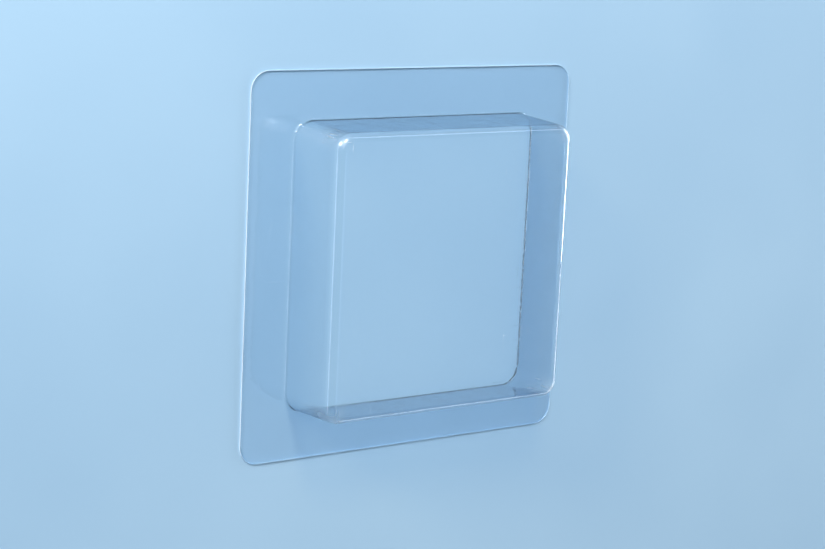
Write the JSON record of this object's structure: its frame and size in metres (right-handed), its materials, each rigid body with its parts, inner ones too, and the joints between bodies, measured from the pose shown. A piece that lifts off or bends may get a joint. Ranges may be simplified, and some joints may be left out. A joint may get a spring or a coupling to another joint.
{
  "type": "clear blister pack shell",
  "caption": "Clear formed plastic shell: a flat square flange with rounded corners round one shallow square dome that is open at the back, for showing and holding goods on a card.",
  "frame": {"origin": "middle of the flange's back face, on the surface that the pack lies on", "axes": "+Z from the flange's back out through the dome's front face, X and Y along the square's sides"},
  "size_m": [0.127, 0.127, 0.0254],
  "materials": {
    "clear_sheet": "clear glossy sheet with a faint cold tint and slight forming ripples"
  },
  "bodies": {
    "root": {"clear_shell": "clear_sheet"}
  },
  "joints": []
}
